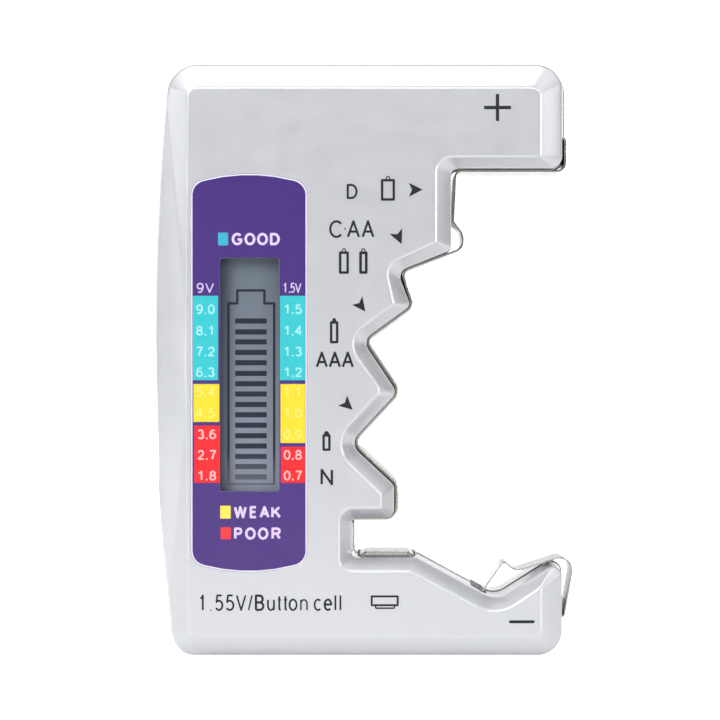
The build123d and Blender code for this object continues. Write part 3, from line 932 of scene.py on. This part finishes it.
def ribbon(pts, w, square=True):
    """Quads that cover a pen stroke of width w, with filled joints."""
    quads = []
    h = w / 2
    clean = [pts[0]]
    for p in pts[1:]:
        if math.hypot(p[0] - clean[-1][0], p[1] - clean[-1][1]) > 1e-6:
            clean.append(p)
    if len(clean) < 2:
        x, y = clean[0]
        return [[(x - h, y - h), (x + h, y - h), (x + h, y + h), (x - h, y + h)]]
    n = len(clean)
    closed = math.hypot(clean[0][0] - clean[-1][0], clean[0][1] - clean[-1][1]) < 1e-4
    for i in range(n - 1):
        (x0, y0), (x1, y1) = clean[i], clean[i + 1]
        ux, uy = unit(x1 - x0, y1 - y0)
        quads.append([(x0 - uy * h, y0 + ux * h), (x1 - uy * h, y1 + ux * h),
                      (x1 + uy * h, y1 - ux * h), (x0 + uy * h, y0 - ux * h)])
    for i in range(0 if closed else 1, n - 1):
        x, y = clean[i]
        quads.append([(x + h * math.cos(k * math.pi / 5), y + h * math.sin(k * math.pi / 5))
                      for k in range(10)])
    return quads


def glyph(ch, x0, y0, x1, y1, w):
    """Polygons of a letter whose outside box is x0..x1, y0 (top)..y1 (bottom)."""
    out = []
    h = w / 2
    for stroke in GLYPHS[ch]:
        if ch == ".":
            cx = (x0 + x1) / 2
            out.append([(cx - h, y1 - w), (cx + h, y1 - w), (cx + h, y1), (cx - h, y1)])
            continue
        pts = [(x0 + h + p[0] * (x1 - x0 - w), y1 - h - p[1] * (y1 - y0 - w))
               for p in stroke]
        out += ribbon(pts, w)
    return out


def text(items, w):
    out = []
    for ch, x0, y0, x1, y1 in items:
        out += glyph(ch, x0, y0, x1, y1, w)
    return out


def outline_box(x0, y0, x1, y1, w):
    h = w / 2
    pts = [(x0 + h, y0 + h), (x1 - h, y0 + h), (x1 - h, y1 - h), (x0 + h, y1 - h),
           (x0 + h, y0 + h)]
    return ribbon(pts, w)


def printed(name, polys, y_low, y_high, mat, depth=0.0, taper=0.0):
    """Union of flat polygons, as a closed layer of ink between two depths."""
    verts, faces = [], []
    for poly in polys:
        k = len(verts)
        pts = [Vector(P2(x, y, depth)) for x, y in poly]
        area = sum(pts[i].x * pts[(i + 1) % len(pts)].y
                   - pts[(i + 1) % len(pts)].x * pts[i].y for i in range(len(pts)))
        if area < 0:
            pts.reverse()
        verts += pts
        faces.append(list(range(k, k + len(pts))))
    v, e, f, ov, oe, of_ = delaunay_2d_cdt(verts, [], faces, 0, 1e-5)
    bm = bmesh.new()
    keep = [tri for tri, src in zip(f, of_) if src]
    used = sorted({i for tri in keep for i in tri})
    lo = {i: bm.verts.new(Vector((v[i].x, y_low, v[i].y)) * MM) for i in used}
    hi = {i: bm.verts.new(Vector((v[i].x, y_high, v[i].y)) * MM) for i in used}
    count = {}
    for tri in keep:
        bm.faces.new([lo[i] for i in tri])
        bm.faces.new([hi[i] for i in reversed(tri)])
        n = len(tri)
        for a in range(n):
            key = tuple(sorted((tri[a], tri[(a + 1) % n])))
            count[key] = count.get(key, 0) + 1
    for (a, c), n in count.items():
        if n == 1:
            bm.faces.new([lo[a], lo[c], hi[c], hi[a]])
    bmesh.ops.recalc_face_normals(bm, faces=bm.faces[:])
    me = bpy.data.meshes.new(name)
    bm.to_mesh(me)
    bm.free()
    return place(name, me, [mat], "case")


def rect(x0, y0, x1, y1):
    return [(x0, y0), (x1, y0), (x1, y1), (x0, y1)]


def soft_rect(x0, y0, x1, y1, r):
    pts = []
    for cx, cy, a0 in ((x1 - r, y0 + r, -90), (x1 - r, y1 - r, 0),
                       (x0 + r, y1 - r, 90), (x0 + r, y0 + r, 180)):
        for k in range(5):
            a = math.radians(a0 + 90 * k / 4)
            pts.append((cx + r * math.cos(a), cy + r * math.sin(a)))
    return pts


LOW, MIDL, HIGH = -10.955, -10.966, -10.975

# colour bars
printed("bars_cyan", [rect(192.9, 295.8, 218.1, 380.2), rect(280.0, 295.8, 305.2, 380.2)],
        LOW, MIDL, M_CYAN)
printed("bars_yellow", [rect(193.4, 384.0, 219.3, 421.9), rect(280.5, 384.0, 305.2, 443.0)],
        LOW, MIDL, M_YELLOW)
printed("bars_red", [rect(194.2, 425.6, 220.0, 482.9), rect(280.9, 446.8, 305.2, 482.9)],
        LOW, MIDL, M_RED)
printed("key_good", [soft_rect(218.0, 232.6, 228.0, 245.4, 0.8)], LOW, MIDL,
        M_CYAN_DULL)
printed("key_weak", [soft_rect(220.2, 505.7, 230.7, 518.6, 0.8)], LOW, MIDL,
        M_YELLOW_DULL)
printed("key_poor", [soft_rect(220.6, 527.2, 231.0, 539.4, 1.2)], LOW, MIDL,
        M_RED_DULL)


def word(s, spans, y0, y1):
    return [(ch, a, y0, b, y1) for ch, (a, b) in zip(s, spans)]


bold = []
bold += text(word("GOOD", [(231.7, 242.6), (244.4, 255.4), (257.0, 268.0), (269.9, 279.8)],
                  232.8, 245.3), 2.55)
bold += text(word("WEAK", [(233.8, 246.8), (249.6, 257.2), (259.4, 269.6), (271.2, 281.0)],
                  506.0, 518.3), 2.45)
bold += text(word("POOR", [(234.0, 242.4), (245.0, 255.8), (257.8, 268.4), (271.4, 281.0)],
                  527.4, 539.7), 2.50)
printed("legend_states", bold, LOW, HIGH, M_LEGEND)

thin = []
thin += text(word("9V", [(196.6, 203.6), (205.2, 214.0)], 282.8, 292.9), 1.35)
thin += text(word("1.5V", [(283.0, 287.3), (287.6, 291.2), (290.2, 295.0), (294.9, 301.4)],
                  282.8, 292.9), 1.25)
printed("legend_volts", thin, LOW, HIGH, M_LEGEND_THIN)

ROWS = [309.2, 330.6, 351.5, 372.2, 391.7, 413.0, 434.3, 454.9, 475.6]
LEFT = ["9.0", "8.1", "7.2", "6.3", "5.4", "4.5", "3.6", "2.7", "1.8"]
RIGHT = ["1.5", "1.4", "1.3", "1.2", "1.1", "1.0", "0.9", "0.8", "0.7"]


def number(s, x0, x1, y, h=9.9, w=7.0):
    return [(s[0], x0, y - h / 2, x0 + w, y + h / 2),
            (s[1], (x0 + x1) / 2 - 1.4, y - h / 2, (x0 + x1) / 2 + 1.4, y + h / 2),
            (s[2], x1 - w, y - h / 2, x1, y + h / 2)]


groups = {"cyan": ([], []), "yellow": ([], []), "red": ([], [])}
for i, y in enumerate(ROWS):
    kind = "cyan" if i < 4 else "yellow" if i < 6 else "red"
    x0 = 196.0 if i < 6 else 197.4
    groups[kind][0].extend(number(LEFT[i], x0, x0 + 18.8, y))
    kind = "cyan" if i < 4 else "yellow" if i < 7 else "red"
    groups[kind][0].extend(number(RIGHT[i], 283.6, 302.0, y))
for kind, mat in (("cyan", M_NUM_CYAN), ("yellow", M_NUM_YELLOW), ("red", M_NUM_RED)):
    printed("numbers_" + kind, text(groups[kind][0], 1.65), -10.964, HIGH, mat)

# legends on the face
ink = []
ink += text([("D", 346.7, 183.9, 357.6, 199.0)], 2.15)
ink += text(word("CAA", [(329.2, 343.0), (346.8, 360.0), (361.6, 374.4)], 220.2, 238.0), 2.20)
ink += [[(345.0 + 0.95 * math.cos(k), 228.8 + 0.95 * math.sin(k))
         for k in [j * math.pi / 4 for j in range(8)]]]
ink += text(word("AAA", [(315.7, 327.9), (328.7, 341.0), (341.7, 353.9)], 351.5, 368.0), 2.30)
ink += text([("N", 320.5, 468.7, 333.1, 485.4)], 2.45)
small = [("1", 199.2, 205.4, 1.9), (".", 209.0, 213.0, 1.3), ("5", 214.9, 223.4, 1.9),
         ("5", 225.5, 234.4, 1.9), ("V", 235.8, 246.4, 1.75), ("/", 247.8, 252.8, 1.55),
         ("B", 254.8, 264.4, 2.3), ("u", 267.0, 274.9, 1.9), ("t", 277.0, 282.0, 1.9),
         ("t", 283.1, 288.2, 1.9), ("o", 288.6, 297.5, 1.9), ("n", 300.1, 307.8, 1.6),
         ("c", 313.6, 322.2, 1.8), ("e", 323.6, 332.3, 2.1), ("l", 333.7, 337.1, 1.8),
         ("l", 338.7, 342.1, 1.8)]
for c, a, b, w in small:
    ink += text([(c, a, 594.5, b, 611.0)], w)


def cell_icon(x0, y0, x1, y1, w, nub_w, solid=True):
    """Outline of a round cell standing up, with its cap."""
    polys = outline_box(x0, y0, x1, y1, w)
    cx = (x0 + x1) / 2
    h = nub_w / 2
    cap = [(cx - h, y0 + 0.8), (cx - h * 0.86, y0 - 1.3), (cx - h * 0.45, y0 - 2.5),
           (cx + h * 0.45, y0 - 2.5), (cx + h * 0.86, y0 - 1.3), (cx + h, y0 + 0.8)]
    if solid:
        polys.append(cap)
    polys += ribbon(cap, 1.1)
    return polys


ink += cell_icon(380.9, 179.0, 395.0, 200.7, 2.45, 3.6, False)
ink += cell_icon(338.9, 251.4, 348.9, 273.8, 2.50, 3.6, False)
ink += cell_icon(359.2, 251.4, 367.6, 273.8, 2.75, 3.6, False)
ink += cell_icon(329.9, 321.2, 338.4, 343.4, 2.50, 3.2)
ink += cell_icon(322.4, 434.2, 330.6, 450.9, 2.45, 4.4)
ink += ribbon([(371.7, 596.4), (397.7, 596.4), (397.7, 605.2), (371.7, 605.2),
               (371.7, 596.4)], 2.0)
ink += ribbon([(375.2, 605.4), (376.0, 608.2), (394.0, 608.2), (394.9, 605.4)], 1.5)


def dart(tip, a, b, notch):
    """Solid arrow with a concave back, as two triangles."""
    return [[tip, a, notch], [tip, notch, b]]


ink += dart((422.6, 189.6), (408.7, 182.7), (408.9, 196.8), (412.0, 189.6))
ink += dart((401.7, 244.2), (389.6, 233.9), (402.2, 228.2), (397.4, 234.2))
ink += dart((365.4, 311.6), (352.0, 304.9), (362.3, 296.0), (359.3, 303.0))
ink += dart((352.7, 409.8), (338.0, 405.7), (347.0, 395.3), (344.8, 402.9))
# plus by the arm, minus by the lower right corner
ink += ribbon([(484.0, 107.5), (511.0, 107.5)], 3.4)
ink += ribbon([(497.5, 94.0), (497.5, 121.0)], 3.3)
ink += ribbon([(510.2, 621.8), (533.4, 621.8)], 3.0)
ink += [[(510.2 + 1.35 * math.cos(t * math.pi / 8), 621.8 + 1.35 * math.sin(t * math.pi / 8))
         for t in range(16)],
        [(533.4 + 1.35 * math.cos(t * math.pi / 8), 621.8 + 1.35 * math.sin(t * math.pi / 8))
         for t in range(16)]]
printed("face_legends", ink, Y_FACE + 0.006, -11.0, M_INK)

# display segments, on the front film of the display
LCD_D = 1.85
seg = []
seg += ribbon([(228.4, 484.5), (228.4, 303.4), (237.3, 303.4), (237.3, 290.4),
               (264.4, 290.4), (264.4, 303.4), (274.2, 303.4), (274.2, 484.5)], 2.4)
seg += ribbon([(228.4, 484.0), (274.2, 484.0)], 1.6)
BARS = [321.0, 331.9, 341.9, 352.4, 362.7, 373.4, 383.7, 394.0, 404.5, 414.8, 425.2,
        435.7, 446.0, 456.5, 466.6, 476.9]
for y in BARS:
    seg.append(soft_rect(235.2, y - 2.6, 266.7, y + 2.6, 0.6))
printed("lcd_segments", seg, -9.149, -9.162, M_SEG, depth=LCD_D)


# ------------------------------------------------------------ metal strips
STRIP_OFF = 0.22
near = offset_line(PART_LINE, [STRIP_OFF] * 20)
STRIP_PATH = [
    (27.4, 79.45, 0.0), (31.17, 79.45, 0.45), (31.17, 74.42, 1.25),
    (14.26, 74.42, 0.95), (13.88, 66.60, 0.6), (15.46, 64.42, 2.4),
    (15.20, 62.42, 1.5),
]
for i in (5, 6, 7, 8, 9, 10, 11):
    x, z, r = near[i]
    STRIP_PATH.append((x, z, max(r, 0.6)))
STRIP_PATH += [(-4.7, z_tooth, 0.5), (-4.7, z_tooth - 3.0, 0.0)]
CROWN_PATH = [
    (-0.45, 10.8, 0.0), (-0.45, 15.00, 0.35), (0.42, 15.53, 0.5),
    (6.92, 15.53, 0.5), (7.72, 15.00, 0.35), (7.72, 10.6, 0.8),
    (15.3, 6.6, 0.0),
]
CLIP_PATH = [
    (28.00, 3.30, 0.0), (28.00, 5.60, 0.55), (31.05, 5.60, 0.35),
    (32.80, 15.55, 1.93), (23.46, 12.52, 2.0), (21.77, 14.21, 0.62),
    (17.52, 8.22, 0.0),
]


def strip(name, path, thick, half_w, mat, body, node, roll=0.07, lean=None,
          skirt=0.0):
    """Bent flat spring strip with rolled-over sheared edges. Its front half
    leans towards the case by lean(x, z), as the wall under it is drafted.
    skirt is how much deeper its front edge is on the side of the case."""
    cuts = plan(path, closed=False, step=7.0, run=2.5, reach=1.2)
    pts = sample(path, cuts, closed=False)
    clean = [pts[0]]
    for p in pts[1:]:
        if math.hypot(p[0] - clean[-1][0], p[1] - clean[-1][1]) > 1e-4:
            clean.append(p)
    pts = clean
    n = len(pts)
    t = thick / 2
    section = []
    for sx, sy, a0 in ((1, -1, -90), (1, 1, 0), (-1, 1, 90), (-1, -1, 180)):
        for k in range(4):
            a = math.radians(a0 + 90 * k / 3)
            section.append((sx * (t - roll) + roll * math.cos(a),
                            sy * (half_w - roll) + roll * math.sin(a)))
        if sx != sy:
            section.append((sx * t, 0.0))
    b = Builder()
    rings = []
    for i, (x, z) in enumerate(pts):
        if i == 0:
            d = unit(pts[1][0] - x, pts[1][1] - z)
        elif i == n - 1:
            d = unit(x - pts[-2][0], z - pts[-2][1])
        else:
            d1 = unit(x - pts[i - 1][0], z - pts[i - 1][1])
            d2 = unit(pts[i + 1][0] - x, pts[i + 1][1] - z)
            d = unit(d1[0] + d2[0], d1[1] + d2[1])
            # keep the thickness through the bend
        nx, nz = -d[1], d[0]
        k = 1.0
        if 0 < i < n - 1:
            cosh = d[0] * d1[0] + d[1] * d1[1]
            k = 1 / max(cosh, 0.6)
        bend = lean(x, z) if lean else 0.0
        ring = []
        for u, v in section:
            front_part = max(0.0, -v / half_w)
            w = u * k - bend * front_part - (skirt * front_part if u < 0 else 0.0)
            ring.append(Vector((x + nx * w, v, z + nz * w)))
        rings.append(ring)
    made = b.loft(rings)
    for ring in (made[0], made[-1]):
        f = b.bm.faces.new(ring)
        f.smooth = True
    o = b.done(name, [mat], body)
    finish_shading(o, 40.0)
    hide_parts(node)
    return o


def wall_lean(x, z):
    return 0.25 * min(max((57.5 - z) / 2.0, 0.0), 1.0)


strip("bay_contact_strip", STRIP_PATH, 0.34, 5.5, M_NICKEL, "case",
      "positive_contact_strip", lean=wall_lean)
strip("button_contact_crown", CROWN_PATH, 0.40, 5.0, M_NICKEL, "case",
      "negative_button_contact", skirt=0.29)
strip("negative_clip_spring", CLIP_PATH, 0.26, 4.5, M_SPRING, "clip",
      "negative_spring_clip")

# --------------------------------------------------- CAD nodes that stay
KEEP = {
    "lcd_front_polarizer": M_LCD, "lcd_front_glass": M_GLASS, "lcd_rear_glass": M_GLASS,
    "lcd_reflector": M_REFLECT, "lcd_holder": M_HOLDER, "zebra_strips": M_RUBBER,
    "main_pcb": M_PCB, "pcb_screws": M_SCREW, "case_screws": M_SCREW,
    "driver_chip": M_EPOXY, "load_resistors": M_RES, "chip_resistors": M_CHIPR,
    "chip_capacitors": M_CHIPC, "nine_volt_positive_contact": M_SNAP,
    "nine_volt_negative_contact": M_SNAP, "positive_lead": M_REDLEAD,
    "negative_lead": M_BLACKLEAD, "nine_volt_positive_lead": M_REDLEAD,
    "nine_volt_negative_lead": M_BLACKLEAD, "solder_joints": M_SOLDER,
}
for name, mat in KEEP.items():
    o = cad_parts[name]
    o.data.materials.clear()
    o.data.materials.append(mat)


# -------------------------------------------------------- floor and studio
STAGE_FRONT, STAGE_BACK, STAGE_FAR, FLOOR_FAR = 0.08, 0.12, 0.70, 1.8


def make_stage():
    m = Mat("studio_white")
    m.set(spec=0.1, rough=0.9)
    cloud = m.noise(3, 2.0, 0.5)
    m.base(m.ramp(cloud, [(0.3, (0.86, 0.86, 0.87)), (0.7, (0.90, 0.90, 0.90))]))
    m.b.inputs["Emission Color"].default_value = (1.0, 1.0, 1.0, 1)
    # the backdrop glows brighter than the floor in front of the object
    seen = m.node("ShaderNodeLightPath").outputs["Is Camera Ray"]
    xyz = m.node("ShaderNodeSeparateXYZ")
    m.link(m.co, xyz.inputs[0])
    behind = m.range(xyz.outputs["Y"], 0.0, 0.12, STAGE_FRONT, STAGE_BACK)
    far = m.node("ShaderNodeMath", operation="MULTIPLY")
    m.link(m.range(xyz.outputs["Y"], 0.55, 0.95, 0.0, 1.0), far.inputs[0])
    m.link(m.range(xyz.outputs["Z"], 0.20, 0.40, 1.0, 0.0), far.inputs[1])
    lit = m.node("ShaderNodeMix", data_type="FLOAT")
    m.link(far.outputs[0], lit.inputs[0])
    m.link(behind, lit.inputs[2])
    m.link(m.range(xyz.outputs["Z"], 0.01, 0.06, FLOOR_FAR, STAGE_FAR), lit.inputs[3])
    across = m.node("ShaderNodeMath", operation="ABSOLUTE")
    m.link(xyz.outputs["X"], across.inputs[0])
    near_only = m.node("ShaderNodeMath", operation="MULTIPLY")
    m.link(lit.outputs[0], near_only.inputs[0])
    m.link(m.range(across.outputs[0], 2.0, 2.3, 1.0, 0.0), near_only.inputs[1])
    glow = m.node("ShaderNodeMix", data_type="FLOAT")
    m.link(seen, glow.inputs[0])
    m.link(near_only.outputs[0], glow.inputs[2])
    glow.inputs[3].default_value = 1.0
    m.link(glow.outputs[0], m.b.inputs["Emission Strength"])
    bm = bmesh.new()
    prof = [(-0.24, 0.0), (0.0, 0.0), (0.9, 0.0)]
    for k in range(1, 13):
        a = math.radians(90 * k / 12)
        prof.append((0.9 + 0.5 * math.sin(a), 0.5 - 0.5 * math.cos(a)))
    prof.append((1.4, 2.2))
    rows = []
    for y, z in prof:
        rows.append([bm.verts.new((x, y, z)) for x in (-6.0, -0.7, 0.7, 6.0)])
    for a, b in zip(rows, rows[1:]):
        for i in range(3):
            f = bm.faces.new([a[i], a[i + 1], b[i + 1], b[i]])
            f.smooth = True
    bmesh.ops.recalc_face_normals(bm, faces=bm.faces[:])
    me = bpy.data.meshes.new("studio_sweep")
    bm.to_mesh(me)
    bm.free()
    o = bpy.data.objects.new("studio_sweep", me)
    bpy.context.scene.collection.objects.link(o)
    me.materials.append(m.m)


def area(name, loc, target, size, power, color=(1, 1, 1), size_y=None):
    d = bpy.data.lights.new(name, "AREA")
    d.energy = power
    d.color = color
    d.shape = "RECTANGLE"
    d.size = size
    d.size_y = size_y or size
    o = bpy.data.objects.new(name, d)
    o.location = loc
    o.rotation_mode = "QUATERNION"
    o.rotation_quaternion = (Vector(target) - Vector(loc)).to_track_quat("-Z", "Y")
    o.visible_camera = False
    bpy.context.scene.collection.objects.link(o)
    return o


make_stage()
MIDDLE = (0.0, 0.0, 0.045)
area("top_box", (-0.04, -0.06, 0.66), (0.0, -0.02, 0.0), 0.50, 1.60)
area("key_box", (-0.46, -0.52, 0.56), MIDDLE, 0.26, 3.85)
area("front_high", (0.0, -0.62, 0.40), MIDDLE, 0.30, 0.80, (1.0, 1.0, 1.0), 0.10)
area("front_card", (0.0, -0.62, 0.01), (0.0, 0.0, 0.03), 0.24, 0.045, (1.0, 1.0, 1.0), 0.13)
area("low_front", (0.0, -0.60, -0.14), MIDDLE, 0.50, 0.22, (1.0, 1.0, 1.0), 0.03)
area("left_side", (-0.66, -0.22, 0.32), MIDDLE, 0.26, 0.08)
area("left_strip", (-0.50, -0.40, 0.06), MIDDLE, 0.05, 0.36, (0.98, 0.99, 1.0), 0.36)
area("left_near", (-0.28, -0.58, 0.06), MIDDLE, 0.03, 0.26, (1.0, 1.0, 1.0), 0.36)
area("right_strip", (0.50, -0.40, 0.06), MIDDLE, 0.05, 1.16, (0.98, 0.99, 1.0), 0.36)
area("right_side", (0.66, -0.10, 0.20), MIDDLE, 0.20, 0.31, (0.98, 0.99, 1.0))
area("right_high", (0.30, -0.52, 0.36), MIDDLE, 0.10, 0.42)
area("corner_right", (0.45, -0.14, 0.52), MIDDLE, 0.42, 0.66)
area("corner_left", (-0.45, -0.14, 0.52), MIDDLE, 0.42, 0.60)
area("left_card", (-0.66, -0.02, 0.20), MIDDLE, 0.20, 0.24, (0.98, 0.99, 1.0))
area("rear_right_high", (0.40, 0.50, 0.45), MIDDLE, 0.35, 0.14)
area("rear_box", (-0.30, 0.62, 0.50), MIDDLE, 0.35, 0.34)

world = bpy.data.worlds.new("studio")
world.use_nodes = True
bg = world.node_tree.nodes["Background"]
bg.inputs[0].default_value = (0.98, 0.99, 1.0, 1)
seen = world.node_tree.nodes.new("ShaderNodeLightPath")
level = world.node_tree.nodes.new("ShaderNodeMapRange")
level.inputs["To Min"].default_value = 0.03
level.inputs["To Max"].default_value = 1.05
world.node_tree.links.new(seen.outputs["Is Camera Ray"], level.inputs["Value"])
world.node_tree.links.new(level.outputs["Result"], bg.inputs[1])
bpy.context.scene.world = world

cam = bpy.data.cameras.new("camera")
cam.sensor_width = 36
cam.lens = 36 * 450 / 109.72
cam.clip_start, cam.clip_end = 0.01, 20
co = bpy.data.objects.new("camera", cam)
co.location = (-0.00049, -0.461, 0.04525)
co.rotation_euler = (math.radians(90), 0, 0)
bpy.context.scene.collection.objects.link(co)
bpy.context.scene.camera = co
bpy.context.scene.view_settings.view_transform = "Standard"
bpy.context.scene.view_settings.look = "None"

bpy.context.view_layer.update()
